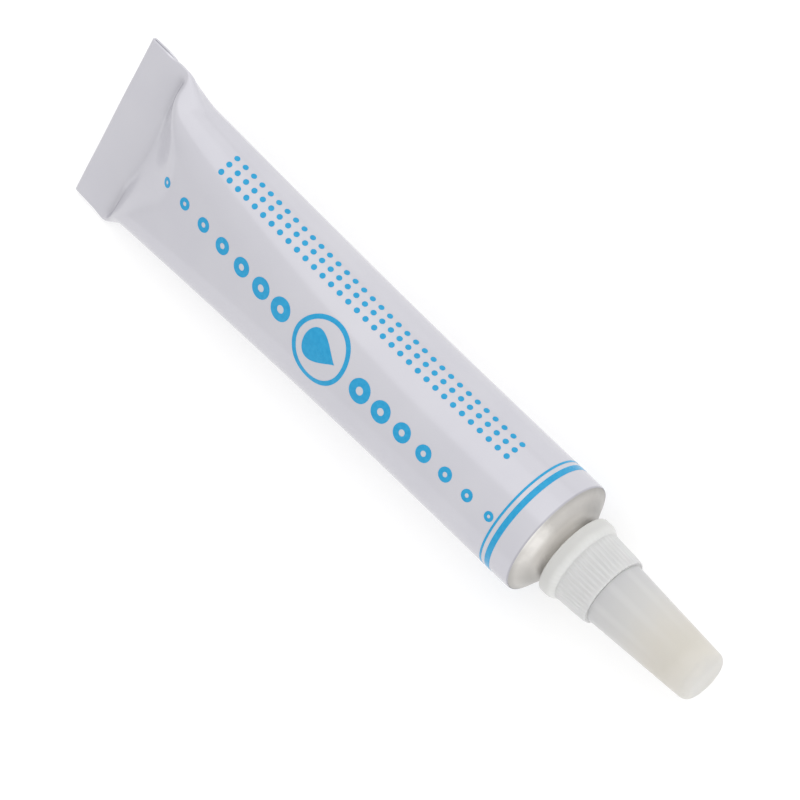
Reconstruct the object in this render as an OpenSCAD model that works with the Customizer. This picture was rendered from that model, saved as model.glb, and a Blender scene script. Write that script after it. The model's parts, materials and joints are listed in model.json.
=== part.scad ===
// Jewellery glue tube: a collapsible aluminium tube, lying on its side, with a screw-on
// needle nozzle and a push-on translucent cap. Millimetres. X runs along the tube's axis
// towards the cap, Z is up, and the tube rests on Z = 0 on its barrel and on the lower
// corner of its folded end. The origin is the middle of the footprint box.

/* [Barrel] */
// Outer diameter of the bare aluminium barrel
barrel_d = 16; // [13:0.5:22]
// Length of the barrel from the fold to the shoulder's rim
barrel_len = 71.2; // [50:0.1:110]
// Thickness of the aluminium wall
wall = 0.15; // [0.1:0.01:0.3]
// Thickness of the baked white enamel
enamel = 0.05; // [0.03:0.01:0.1]
// Length over which the full round barrel flattens towards the fold
taper_len = 53; // [35:1:70]
// Share of the barrel's depth that is lost next to the fold
taper_loss = 0.55; // [0.3:0.01:0.7]
// Length of the steep closing stretch next to the fold
closing_len = 6; // [4:0.5:10]

/* [Folded end] */
// Length of the folded band along the tube
band_len = 5.8; // [4:0.1:9]
// Thickness of the flattened wall in front of the tube's middle plane
band_front = 0.25; // [0.2:0.01:0.5]
// Thickness of the folded layers behind the tube's middle plane
band_back = 0.55; // [0.35:0.05:1.2]
// Length of the latex strip that seals the flattened end
seal_len = 3.2; // [2:0.1:6]

/* [Shoulder and neck] */
// Axial length of the conical shoulder
shoulder_len = 2.7; // [1.5:0.1:6]
// Thickness of the shoulder
shoulder_t = 0.5; // [0.4:0.05:1]
// Radius of the rounded rim between barrel and shoulder
rim_r = 0.6; // [0.3:0.05:1.2]
// Diameter of the neck at the root of its thread
neck_d = 7.2; // [6:0.1:10]
// Wall of the neck between its bore and its thread
neck_wall = 1.1; // [0.8:0.05:1.8]
// Length of the neck in front of the shoulder
neck_len = 5.1; // [4:0.1:8]

/* [Screw thread] */
// Lift of the nozzle in one turn
thread_pitch = 1.5; // [1:0.05:2]
// Plain stretch of the neck at each end of the thread's middle line
thread_margin = 0.86; // [0.6:0.02:1.2]
// Height of the thread above the neck
thread_h = 0.4; // [0.2:0.05:0.5]
// Play between the neck's thread and the nozzle's thread
thread_play = 0.14; // [0.1:0.01:0.2]

/* [Nozzle] */
// Gap between the shoulder's end and the nozzle's flange
flange_gap = 0.25; // [0.1:0.05:1]
// Length of the flange at the nozzle's foot
flange_len = 1.9; // [1:0.1:3]
// Step from the ribbed collar out to the flange
flange_lip = 0.6; // [0.3:0.05:1.5]
// Wall of the collar outside its thread, at its outer end
skirt_wall = 0.61; // [0.4:0.01:1.5]
// Growth of the collar's radius from its outer end to the flange
collar_flare = 0.25; // [0:0.05:0.6]
// Thickness of the nozzle between the neck's end and the collar's end
collar_top = 1.75; // [1:0.05:3]
// Radius of the rounded edges on the flange and the collar
edge_r = 0.35; // [0.1:0.05:0.45]
// Number of grip ribs around the collar
rib_count = 54; // [30:1:72]
// Diameter of one grip rib
rib_d = 0.36; // [0.2:0.02:0.5]
// Step from the nose out to the collar's edge, where the cap butts
seat_step = 1.35; // [1.3:0.05:2]
// Length of the nose's straight part, which carries the cap
nose_len = 2.6; // [1.5:0.1:4]
// Length of the cone in front of the nose
nose_cone_len = 1.7; // [1:0.1:3]
// Diameter of the nose at the needle
nose_tip_d = 2.2; // [1.6:0.1:3]
// Length of the funnel from the neck's end to the needle
funnel_len = 1.45; // [0.8:0.05:3]

/* [Needle and wire] */
// Outer diameter of the steel needle
needle_d = 0.82; // [0.6:0.02:1.2]
// Wall of the steel needle
needle_wall = 0.155; // [0.1:0.005:0.2]
// Length of needle outside the nose
needle_out = 5.8; // [3:0.1:10]
// Radial play of the cleaning wire in the needle
wire_play = 0.055; // [0.03:0.005:0.1]
// Length of wire inside the needle
wire_in = 8.5; // [3:0.1:10]

/* [Cap] */
// Wall thickness of the cap
cap_wall = 0.85; // [0.6:0.05:0.95]
// Shrinking of the cap's radius from its mouth to its tip
cap_taper = 0.85; // [0.3:0.05:1.2]
// Space between the needle's end and the resin plug
tip_gap = 0.7; // [0.3:0.1:3]
// Length of the resin plug that holds the wire
plug_len = 2.4; // [1.5:0.1:4]
// Thickness of the cap's closed end
cap_end_t = 2.2; // [1.2:0.1:4]
// Radius of the rounded edge at the cap's tip
cap_edge_r = 1.1; // [0.4:0.1:1.6]

/* [Clearances] */
// Radial play between pieces that slide or turn on each other
running_play = 0.05; // [0.03:0.01:0.1]
// Radial play of the needle in the nozzle and of the plug in the cap
seat_play = 0.02; // [0.01:0.01:0.05]
// Gap between the glue and the wall around it
glue_gap = 0.3; // [0.2:0.05:0.6]
// Bond line between the enamel and the aluminium
bond_gap = 0.01; // [0.005:0.005:0.02]

/* [Hidden] */
$fn = 72;

// Points around one section of the barrel
section_points = 40;
// Sections along the barrel
barrel_steps = 18;
// Sections around the rounded rim
rim_steps = 4;
// Crowding of the sections towards the fold
step_power = 1.9;
// How the barrel's depth falls towards the fold
taper_power = 1.7;
// How the last stretch closes at the fold
closing_power = 0.7;
// Small overlap where solids of one piece are joined
join = 0.3;
// Shortest step between two sections of the barrel
sliver = 0.05;
// Overlap of the band with the barrel's first section
fold_lap = 0.03;
// Facets in one turn of thread
thread_facets = 24;
// Depth to which a thread's root is sunk into its carrier
thread_sink = 0.2;
// Share of the pitch taken by the thread's root and by its crest
thread_root_share = 0.5;
thread_crest_share = 0.2;
// Turns by which the nozzle's groove runs on past the neck's thread, and out of its own foot
groove_runout = 0.05;
groove_mouth = 0.6;
// Clear space inside the cap in front of the nose's straight part
nose_room = 0.25;

barrel_r = barrel_d / 2;
axis_z = barrel_r + enamel;
band_w = PI * (barrel_d - wall) / 2;
fold_r = band_front - 2 * enamel;

// Thread, nozzle, needle and cap, each from the piece that it fits
neck_r = neck_d / 2;
neck_bore_r = neck_r - neck_wall;
thread_turns = (neck_len - 2 * thread_margin) / thread_pitch;
skirt_depth = neck_len - flange_gap + running_play;
collar_len = skirt_depth + collar_top;
collar_end_r = neck_r + thread_h + thread_play + skirt_wall;
collar_r = collar_end_r + collar_flare;
flange_r = collar_r + flange_lip;
nose_r = collar_end_r - seat_step;
needle_in = collar_top + nose_len + nose_cone_len - funnel_len;
needle_bore_d = needle_d - 2 * needle_wall;
wire_d = needle_bore_d - 2 * wire_play;
needle_end = nose_len + nose_cone_len + needle_out;
grip_r = nose_r + running_play;
grip_len = nose_len + nose_room;
plug_foot = needle_end + tip_gap;
cap_inside = plug_foot + plug_len;
cap_len = cap_inside + cap_end_t;

// Stations along X
overall = enamel + band_len + barrel_len + shoulder_len + flange_gap + collar_len + bond_gap + cap_len;
x_end = enamel - overall / 2;
x_fold = x_end + band_len;
x_rim = x_fold + barrel_len;
x_neck = x_rim + shoulder_len;
x_flange = x_neck + flange_gap;
x_seat = x_flange + collar_len;

// Roll of the tube about its axis at which the lower corner of the band meets the floor
corner_reach = norm([band_w / 2, band_back + enamel]);
roll = asin(axis_z / corner_reach) - atan((band_back + enamel) / (band_w / 2));
// Sideways place of the axis, which centres the folded band over the origin
axis_y = sin(roll) * (band_front - band_back) / 2;

// Fullness of the barrel at a distance from the fold: 0 is flat and 1 is round
function taper(x) = x >= taper_len ? 1 : 1 - taper_loss * pow(1 - x / taper_len, taper_power);
function closing(x) = x >= closing_len ? 1 : pow(1 - pow(1 - x / closing_len, 2), closing_power);
function fullness(x) = max(fold_r / barrel_r, taper(x) * closing(x));

// The barrel is straight between these stations, so every layer of it is worked out from them
straight_len = barrel_len - rim_r;
stations = [for (i = [0 : barrel_steps]) straight_len * pow(i / barrel_steps, step_power)];
profile = [for (x = stations) [x, fullness(x)]];

// A section is two half circles of radius r whose centres are c from the tube's middle:
// the wall's length around the section stays the same from the round rim to the flat fold
function half_flat(full) = PI / 2 * barrel_r * (1 - full);

// One ring of points: x along the tube, c and r of the section, turned by the roll
function ring(x, c, r) = [
    for (k = [0 : section_points - 1])
        let (angle = (k + 0.5) * 360 / section_points,
             across = sign(cos(angle)) * c + r * cos(angle),
             up = r * sin(angle))
        [x,
         axis_y + across * cos(roll) - up * sin(roll),
         axis_z + across * sin(roll) + up * cos(roll)]
];

// Ring of the barrel at a distance from the fold, offset from the bare outside
function barrel_ring(x, offset) =
    let (full = lookup(x, profile))
    ring(x_fold + x, half_flat(full), barrel_r * full + offset);

// Rings of the barrel between two distances from the fold
function barrel_rings(from, to, offset) = [
    for (x = concat([from], [for (s = stations) if (s > from + sliver && s < to - sliver) s], [to]))
        barrel_ring(x, offset)
];

// Rings around the rim and down the shoulder to a radius, offset from the bare outside
shoulder_angle = atan2(barrel_r - neck_d / 2, shoulder_len);
function shoulder_rings(offset, end_r) =
    let (turn = rim_r + offset,
         centre_x = x_rim - tan(shoulder_angle / 2) * rim_r,
         centre_r = barrel_r - rim_r,
         end_x = x_rim + (barrel_r - end_r) / tan(shoulder_angle) + offset / sin(shoulder_angle))
    concat([for (i = [1 : rim_steps])
                let (a = 90 - shoulder_angle * i / rim_steps)
                ring(centre_x + turn * cos(a), 0, centre_r + turn * sin(a))],
           [ring(end_x, 0, end_r)]);

// Triangles between the rings of a list, which starts at point number first
function skin(rings, first, outward) = [
    for (i = [0 : rings - 2], k = [0 : section_points - 1])
        let (a = first + i * section_points + k,
             b = first + i * section_points + (k + 1) % section_points,
             c = a + section_points,
             d = b + section_points)
        each outward ? [[a, c, d], [a, d, b]] : [[a, d, c], [a, b, d]]
];

// The points of one ring in order, or turned round
function disc(first, turned) = [
    for (k = [0 : section_points - 1]) first + (turned ? section_points - 1 - k : k)
];

// Triangles between two rings that lie around each other
function rim_face(outer, inner, turned) = [
    for (k = [0 : section_points - 1])
        let (next = (k + 1) % section_points)
        each turned ? [[outer + k, outer + next, inner + next], [outer + k, inner + next, inner + k]]
                    : [[outer + k, inner + next, outer + next], [outer + k, inner + k, inner + next]]
];

// A closed solid through a list of rings
module loft(rings) {
    count = len(rings);
    polyhedron(points = [for (r = rings) each r],
               faces = concat(skin(count, 0, true), [disc(0, false)],
                              [disc((count - 1) * section_points, true)]));
}

// A wall between outer and inner rings, open at the last ring, and at the first unless closed
module cup(outer, inner, closed) {
    inner_first = len(outer) * section_points;
    last_inner = inner_first + (len(inner) - 1) * section_points;
    foot = closed ? [disc(0, false), disc(inner_first, true)] : rim_face(0, inner_first, true);
    polyhedron(points = concat([for (r = outer) each r], [for (r = inner) each r]),
               faces = concat(skin(len(outer), 0, true), skin(len(inner), inner_first, false), foot,
                              rim_face(inner_first - section_points, last_inner, false)));
}

// Puts a shape that is turned about Z onto the tube's axis, with its foot at x
module on_axis(x) {
    translate([x, axis_y, axis_z]) rotate([0, 90, 0]) children();
}

// Puts a shape in the rolled frame of the folded end: X along the tube, Y across the band
module on_fold() {
    translate([0, axis_y, axis_z]) rotate([roll, 0, 0]) children();
}

// A right-hand thread of trapezoid section, sunk into its carrier at the root, between two
// turns that are counted from the thread's start on the neck at z = 0
module thread(root_r, crest_r, from, to, grow) {
    root = thread_pitch * thread_root_share / 2 + grow;
    crest = thread_pitch * thread_crest_share / 2 + grow;
    section = [[root_r, -root], [crest_r, -crest], [crest_r, crest], [root_r, root]];
    steps = ceil((to - from) * thread_facets);
    points = [for (i = [0 : steps])
                  let (turn = from + (to - from) * i / steps)
                  each [for (p = section)
                            [p[0] * cos(360 * turn), p[0] * sin(360 * turn), thread_pitch * turn + p[1]]]];
    sides = [for (i = [0 : steps - 1], k = [0 : 3])
                 let (a = 4 * i + k, b = 4 * i + (k + 1) % 4)
                 each [[a, b + 4, a + 4], [a, b, b + 4]]];
    polyhedron(points = points,
               faces = concat(sides, [[3, 2, 1, 0]], [[for (k = [0 : 3]) 4 * steps + k]]));
}

module folded_band(front, back, end, half_w) {
    on_fold()
        translate([x_end - end, -half_w, -band_back - back])
            cube([band_len + fold_lap + end, 2 * half_w, band_back + back + band_front + front]);
}

// Aluminium tube: wall, shoulder, threaded neck and folded end in one piece
module tube_shell() {
    sunk_outer = neck_r - join;
    sunk_inner = sunk_outer - join;
    color("silver") {
        cup(concat(barrel_rings(-join, straight_len, 0), shoulder_rings(0, sunk_outer)),
            concat(barrel_rings(join, straight_len, -wall), shoulder_rings(-shoulder_t, sunk_inner)),
            true);
        folded_band(0, 0, 0, band_w / 2);
        on_axis(x_neck - shoulder_t) difference() {
            union() {
                cylinder(h = neck_len + shoulder_t, r = neck_r);
                translate([0, 0, shoulder_t + thread_margin])
                    thread(neck_r - thread_sink, neck_r + thread_h, 0, thread_turns, 0);
            }
            translate([0, 0, -join]) cylinder(h = neck_len + shoulder_t + 2 * join, r = neck_bore_r);
        }
    }
}

// White enamel over the barrel and over the front, end and back of the folded band
module enamel_coat() {
    color("whitesmoke") {
        cup(barrel_rings(sliver, straight_len, enamel), barrel_rings(sliver, straight_len, bond_gap), false);
        difference() {
            folded_band(enamel, enamel, enamel, band_w / 2);
            folded_band(0, 0, 0, band_w / 2 + join);
        }
    }
}

// Latex strip in the flattened end of the tube
module end_seal() {
    color("tan") loft(barrel_rings(2 * join, seal_len, -wall - bond_gap));
}

// The cement inside the barrel, the shoulder and the neck
module glue_fill() {
    bore_r = neck_bore_r - glue_gap;
    color("lightyellow")
        loft(concat(barrel_rings(seal_len + glue_gap, straight_len - shoulder_t - glue_gap, -wall - glue_gap),
                    [ring(x_neck - shoulder_t - glue_gap, 0, bore_r), ring(x_neck + neck_len, 0, bore_r)]));
}

// Nozzle: flange, ribbed collar, internal thread, and the nose that carries the cap
module nozzle() {
    skirt_r = neck_r + thread_play;
    needle_r = needle_d / 2 + seat_play;
    nose_end = collar_len + nose_len;
    tip_end = nose_end + nose_cone_len;
    lip_r = flange_r - edge_r;
    body = concat([[skirt_r, 0], [lip_r, 0]],
                  [for (a = [-90 : 30 : 90])
                       [lip_r + edge_r * cos(a),
                        (a < 0 ? edge_r : flange_len - edge_r) + edge_r * sin(a)]],
                  [[collar_r, flange_len]],
                  [for (a = [0 : 30 : 90])
                       [collar_end_r - edge_r + edge_r * cos(a), collar_len - edge_r + edge_r * sin(a)]],
                  [[nose_r, collar_len], [nose_r, nose_end], [nose_tip_d / 2, tip_end],
                   [needle_r, tip_end], [needle_r, skirt_depth + funnel_len],
                   [neck_bore_r, skirt_depth], [skirt_r, skirt_depth]]);
    groove_lead = (thread_margin - flange_gap) / thread_pitch + groove_mouth;
    rib_len = collar_len - flange_len - edge_r;
    rib_lean = atan2(collar_flare, collar_len - flange_len);
    color("white") on_axis(x_flange) difference() {
        union() {
            rotate_extrude() polygon(body);
            for (i = [0 : rib_count - 1])
                rotate([0, 0, i * 360 / rib_count])
                    translate([collar_r, 0, flange_len - edge_r])
                        rotate([0, -rib_lean, 0]) cylinder(h = rib_len, d = rib_d, $fn = 16);
        }
        translate([0, 0, thread_margin - flange_gap])
            thread(skirt_r - thread_sink, neck_r + thread_h + thread_play,
                   -groove_lead, thread_turns + groove_runout, thread_play);
    }
}

// Steel needle through the nozzle's nose
module needle() {
    color("lightgray")
        on_axis(x_seat + needle_end - needle_out - needle_in) difference() {
            cylinder(h = needle_in + needle_out, d = needle_d);
            translate([0, 0, -join]) cylinder(h = needle_in + needle_out + 2 * join, d = needle_bore_d);
        }
}

// Radius of the cap's outside at a height above its mouth
function cap_r(z) = grip_r + cap_wall - cap_taper * z / (cap_len - cap_edge_r);

// Translucent push-on cap
module cap() {
    edge_z = cap_len - cap_edge_r;
    outline = concat([[grip_r, 0], [cap_r(0), 0]],
                     [for (a = [0 : 15 : 90])
                          [cap_r(edge_z) - cap_edge_r + cap_edge_r * cos(a),
                           edge_z + cap_edge_r * sin(a)]],
                     [[0, cap_len], [0, cap_inside], [cap_r(cap_inside) - cap_wall, cap_inside],
                      [cap_r(grip_len) - cap_wall, grip_len], [grip_r, grip_len]]);
    color("gainsboro") on_axis(x_seat + bond_gap) rotate_extrude() polygon(outline);
}

// Resin plug in the cap's closed end, which holds the wire
module wire_plug() {
    gap = cap_wall + seat_play;
    top = cap_inside - seat_play;
    color("goldenrod") on_axis(x_seat + bond_gap) difference() {
        rotate_extrude()
            polygon([[0, plug_foot], [cap_r(plug_foot) - gap, plug_foot],
                     [cap_r(cap_inside) - gap, top], [0, top]]);
        translate([0, 0, plug_foot - join]) cylinder(h = plug_len, d = wire_d + 2 * seat_play);
    }
}

// Fine wire that keeps the needle open
module cleaning_wire() {
    wire_foot = needle_end - wire_in;
    color("gray") on_axis(x_seat + bond_gap + wire_foot)
        cylinder(h = cap_inside - join - seat_play - wire_foot, d = wire_d);
}

tube_shell();
enamel_coat();
end_seal();
glue_fill();
nozzle();
needle();
cap();
cleaning_wire();
wire_plug();
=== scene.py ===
# %% [markdown]
# A tube of jeweller's cement. A thin aluminium tube, enamelled white and printed blue, is pressed flat and
# folded at one end. At the other end a bare metal shoulder carries a threaded neck, a white nozzle with a
# steel needle screws onto that neck, and a frosted cap with a cleaning wire pushes onto the nozzle.
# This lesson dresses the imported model: each piece is made again with finer shapes and its own finish, in
# the same place and at the same size, and rides on the body that it belongs to.

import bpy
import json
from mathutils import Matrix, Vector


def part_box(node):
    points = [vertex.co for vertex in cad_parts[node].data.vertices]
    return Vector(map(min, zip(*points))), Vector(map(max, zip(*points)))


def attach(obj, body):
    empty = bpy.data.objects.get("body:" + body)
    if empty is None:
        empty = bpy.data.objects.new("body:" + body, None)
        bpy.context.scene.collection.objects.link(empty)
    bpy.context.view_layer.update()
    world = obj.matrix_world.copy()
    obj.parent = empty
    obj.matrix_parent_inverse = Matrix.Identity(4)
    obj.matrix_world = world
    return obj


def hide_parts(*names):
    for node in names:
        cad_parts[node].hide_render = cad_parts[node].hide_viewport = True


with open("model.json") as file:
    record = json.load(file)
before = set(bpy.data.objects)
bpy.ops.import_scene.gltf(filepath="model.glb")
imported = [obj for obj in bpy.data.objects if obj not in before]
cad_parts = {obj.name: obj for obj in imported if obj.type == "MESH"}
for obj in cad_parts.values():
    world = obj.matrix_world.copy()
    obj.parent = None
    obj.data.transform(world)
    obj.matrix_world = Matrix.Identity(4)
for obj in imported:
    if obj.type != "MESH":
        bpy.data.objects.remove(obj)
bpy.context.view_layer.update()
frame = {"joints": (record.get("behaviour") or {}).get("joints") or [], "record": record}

import json
import math

import bmesh
import bpy
import numpy as np
from mathutils import Matrix, Vector

# %% [markdown]
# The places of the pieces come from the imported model, so the two can't drift apart. The turning joint gives
# the tube's axis, the flat face of the fold gives the roll of the tube about that axis, and the boxes of
# the nodes give the stations along it. The few sizes typed here are those of the part's own source. The
# lesson works in millimetres and turns to metres when a mesh is made.

# %% Read the stations along the tube
MM = 0.001
joints = {joint["name"]: joint for joint in frame["joints"]}
mounts = {mount["name"]: mount for mount in frame["record"]["mounts"]}
axis_y, axis_z = (value / MM for value in joints["nozzle_turn"]["pos_m"][1:])
fold_normal = mounts["fold_face"]["axis"]
roll = math.atan2(-fold_normal[1], fold_normal[2])


def span(node):
    """First and last station of a node along the tube."""
    low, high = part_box(node)
    return low.x / MM, high.x / MM


barrel_r = 8.0
enamel = 0.05
band_len = 5.8
rim_r = 0.6
neck_len = 5.1
coat_start, coat_end = span("enamel_coat")
x_fold = coat_start + enamel + band_len
x_rim = coat_end + rim_r
barrel_len = x_rim - x_fold
neck_end = span("tube_shell")[1]
x_neck = neck_end - neck_len
x_flange = span("nozzle")[0]
x_cap, x_tip = span("cap")
print(f"fold {x_fold:.2f}, rim {x_rim:.2f}, flange {x_flange:.2f}, cap {x_cap:.2f} to {x_tip:.2f} mm")
print(f"roll {math.degrees(roll):.2f} degrees")

# %% [markdown]
# The helpers below make meshes from rings of points. A skin is lofted through rings that all have the same
# number of points, and a turned piece is a profile carried round the tube's axis. Both are closed solids,
# so Blender can work out which side is outside, and edges that turn sharply are marked so that they shade
# crisply.

# %% Helpers that make pieces
SHARP = math.radians(38)
MERGE = 1e-7


def new_mesh(name, vertices, faces, finish):
    mesh = bpy.data.meshes.new(name)
    mesh.from_pydata(vertices, [], faces)
    mesh.materials.append(finish.material)
    return mesh


def finished(mesh):
    """Merges doubled points, turns the faces outwards, shades them smooth and marks the sharp edges."""
    shaped = bmesh.new()
    shaped.from_mesh(mesh)
    bmesh.ops.remove_doubles(shaped, verts=shaped.verts, dist=MERGE)
    bmesh.ops.recalc_face_normals(shaped, faces=shaped.faces)
    for face in shaped.faces:
        face.smooth = True
    for edge in shaped.edges:
        edge.smooth = len(edge.link_faces) == 2 and edge.calc_face_angle(0) < SHARP
    shaped.to_mesh(mesh)
    shaped.free()
    return mesh


def shown(name, data):
    """Object that holds a mesh, a light or a camera, linked to the scene."""
    holder = bpy.data.objects.new(name, data)
    bpy.context.scene.collection.objects.link(holder)
    return holder


def dress(piece, body, node=None):
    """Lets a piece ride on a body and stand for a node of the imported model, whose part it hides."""
    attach(piece, body)
    if node:
        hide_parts(node)
    print(f"{piece.name}: {len(piece.data.polygons)} faces, on the {body}")
    return piece


# %% Helpers that make solids
ON_AXIS = 1e-6


def solid(name, vertices, faces, finish):
    """Object from vertices in millimetres."""
    return shown(name, finished(new_mesh(name, [tuple(point * MM) for point in vertices], faces, finish)))


def loft(name, rings, finish):
    """Closed solid through rings of points, with a flat face on the first and on the last ring."""
    rings = np.asarray(rings)
    count, around, _ = rings.shape
    start = np.arange(count - 1)[:, None] * around
    here = np.arange(around)[None, :]
    there = (here + 1) % around
    quads = np.stack([start + here, start + there, start + around + there, start + around + here], axis=-1)
    faces = [tuple(quad) for quad in quads.reshape(-1, 4)]
    last = (count - 1) * around
    faces.append(tuple(range(around - 1, -1, -1)))
    faces.append(tuple(range(last, last + around)))
    return solid(name, rings.reshape(-1, 3), faces, finish)


def turned(name, profile, station, finish, segments=160):
    """Solid of revolution on the tube's axis; the profile is (radius, distance from the station)."""
    profile = np.asarray(profile, dtype=float)
    rows = len(profile)
    pole = profile[:, 0] < ON_AXIS
    turns = np.arange(segments) * 2 * math.pi / segments
    radius, along = profile[:, :1], profile[:, 1:]
    sideways, upwards = axis_y + radius * np.sin(turns), axis_z - radius * np.cos(turns)
    points = np.stack(np.broadcast_arrays(station + along, sideways, upwards), axis=-1)
    faces = []
    for i in range(rows - 1 if pole.any() else rows):
        j = (i + 1) % rows
        for k in range(segments):
            n = (k + 1) % segments
            corners = [(i, k), (j, k), (j, n), (i, n)]
            face = [row * segments + (0 if pole[row] else column) for row, column in corners]
            face = tuple(dict.fromkeys(face))
            if len(face) > 2:
                faces.append(face)
    used = sorted({index for face in faces for index in face})
    renumbered = {index: spot for spot, index in enumerate(used)}
    faces = [tuple(renumbered[index] for index in face) for face in faces]
    return solid(name, points.reshape(-1, 3)[used], faces, finish)


def arc(centre_r, centre_z, radius, start, end, steps=8):
    """Points of a circular arc in a profile; angles in degrees, 0 is outwards and 90 is along the tube."""
    angles = np.radians(np.linspace(start, end, steps + 1))
    return [(centre_r + radius * math.cos(a), centre_z + radius * math.sin(a)) for a in angles]


# %% [markdown]
# Finishes are built from Principled shaders. A value that is the same all over goes straight onto the
# shader's socket, and nodes carry only what varies: a noise in Object coordinates, which stays put when a
# piece moves, gives blotches, gloss and the tiny relief that makes a surface look made and not computed.

# %% Helpers for shader nodes
def feed(tree, value, socket):
    """Wires another node's output into a socket, or sets the socket to a plain value."""
    if isinstance(value, bpy.types.NodeSocket):
        tree.links.new(value, socket)
    else:
        socket.default_value = value


class Shading:
    """Adds nodes to the shader tree of a material or of the world."""

    def __init__(self, tree):
        self.tree = tree

    def node(self, kind, **settings):
        """New node; each setting is one of its inputs, by name, or one of its own properties."""
        made = self.tree.nodes.new(kind)
        for key, value in settings.items():
            label = key.replace("_", " ").title()
            if label in made.inputs:
                feed(self.tree, value, made.inputs[label])
            else:
                setattr(made, key, value)
        return made

    def calc(self, operation, *values):
        """Result of a Math node; each value is a number or another node's output."""
        made = self.node("ShaderNodeMath", operation=operation)
        for value, socket in zip(values, made.inputs):
            feed(self.tree, value, socket)
        return made.outputs[0]

    def times(self, first, second):
        return self.calc("MULTIPLY", first, second)

    def between(self, value, low, high, start=0.3, end=0.7):
        """Maps a value that runs from start to end onto a range; the usual start and end suit a noise."""
        limits = {"from_min": start, "from_max": end, "to_min": low, "to_max": high}
        return self.node("ShaderNodeMapRange", value=value, **limits).outputs["Result"]


# %% Helpers for finishes
class Finish(Shading):
    """A material with one Principled shader, whose constant sockets are set by name."""

    def __init__(self, name, constants):
        self.material = bpy.data.materials.new(name)
        self.material.use_nodes = True
        super().__init__(self.material.node_tree)
        self.sockets = self.tree.nodes["Principled BSDF"].inputs
        for label, value in constants.items():
            self.sockets[label].default_value = value

    def grain(self, size, detail=2.0, stretch=(1, 1, 1)):
        """Noise with features of about this size in millimetres, as a value from 0 to 1."""
        place = self.node("ShaderNodeTexCoord").outputs["Object"]
        mapped = self.node("ShaderNodeMapping", vector=place, scale=stretch).outputs["Vector"]
        noise = self.node("ShaderNodeTexNoise", vector=mapped, scale=1 / (size * MM), detail=detail)
        return noise.outputs["Fac"]

    def about_axis(self):
        """Place from the tube's axis, and its parts: the station, sideways and upwards, in metres."""
        place = self.node("ShaderNodeTexCoord").outputs["Object"]
        shift = (0, -axis_y * MM, -axis_z * MM)
        centred = self.node("ShaderNodeMapping", vector=place, location=shift).outputs["Vector"]
        parts = self.node("ShaderNodeSeparateXYZ", vector=centred).outputs
        return centred, parts["X"], parts["Y"], parts["Z"]

    def past(self, length, start, end, low=0.0, high=1.0):
        """Goes from low to high as a length goes from start to end, both in millimetres."""
        return self.between(length, low, high, start * MM, end * MM)

    def shades(self, value, first, second, start=0.3, end=0.7, stops=()):
        """Colour that runs from first to second as the value goes from start to end, through the stops."""
        ramp = self.node("ShaderNodeValToRGB", fac=value)
        for element, position, colour in zip(ramp.color_ramp.elements, (start, end), (first, second)):
            element.position = position
            element.color = (*colour, 1)
        for position, colour in stops:
            ramp.color_ramp.elements.new(position).color = (*colour, 1)
        return ramp.outputs["Color"]

    def mixed(self, factor, first, second, **settings):
        """Colour that goes from the first, a node's output, to a second as the factor goes from 0 to 1."""
        made = self.node("ShaderNodeMix", data_type="RGBA", **settings)
        second = second if isinstance(second, bpy.types.NodeSocket) else (*second, 1)
        for label, value in (("Factor", factor), ("A", first), ("B", second)):
            feed(self.tree, value, made.inputs[label])
        return made.outputs["Result"]

    def surface(self, colour, roughness, *layers):
        """Feeds the shader; each layer of relief is a height and its depth in millimetres."""
        feed(self.tree, colour, self.sockets["Base Color"])
        feed(self.tree, roughness, self.sockets["Roughness"])
        normal = None
        for height, depth in layers:
            bump = self.node("ShaderNodeBump", strength=1.0, distance=depth * MM, height=height)
            if normal:
                feed(self.tree, normal, bump.inputs["Normal"])
            normal = bump.outputs["Normal"]
            feed(self.tree, normal, self.sockets["Normal"])


def srgb(red, green, blue):
    """Linear colour from the 0 to 255 values that a picture shows."""
    def linear(value):
        value /= 255
        return value / 12.92 if value <= 0.04045 else ((value + 0.055) / 1.055) ** 2.4
    return linear(red), linear(green), linear(blue)


# %% [markdown]
# The enamel is a white lacquer with a faint lilac cast, sprayed and baked on the tube, and the ink is
# printed on it. Lacquer over bright metal glows more than plain plastic does, so the enamel is partly
# metallic, with a soft satin sheen. The attribute "shade", which the skin carries on its points, darkens it
# in places, mostly as painted shade, and lightens it in one place as a painted highlight.

# %% Enamel and ink
enamel_white = Finish("baked_enamel", {"Metallic": 0.32, "IOR": 1.45, "Specular IOR Level": 0.05})
# Painted shade: the colour that the shade attribute darkens towards; below 0 it lightens instead, as a
# painted highlight
enamel_painted_shade = (0.72, 0.72, 0.73)
unshaded_enamel = enamel_white.shades(enamel_white.grain(9.0), srgb(196, 195, 202), srgb(200, 199, 205))
shade_there = enamel_white.node("ShaderNodeAttribute", attribute_name="shade").outputs["Fac"]
enamel_white.surface(
    enamel_white.mixed(shade_there, unshaded_enamel, enamel_painted_shade, blend_type="MULTIPLY", clamp_factor=False),
    enamel_white.between(enamel_white.grain(3.0), 0.15, 0.2),
    (enamel_white.grain(0.7), 0.002),
    (enamel_white.grain(6.0, 1.0), 0.01),
)

blue_ink = Finish("blue_ink", {"Metallic": 0.1, "IOR": 1.45, "Specular IOR Level": 0.3})
blue_ink.surface(
    blue_ink.shades(blue_ink.grain(0.5, 3.0), srgb(34, 146, 194), srgb(46, 156, 202)),
    blue_ink.between(blue_ink.grain(1.5), 0.2, 0.28),
    (blue_ink.grain(0.3), 0.002),
)
print("finishes:", enamel_white.material.name, blue_ink.material.name)
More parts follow.
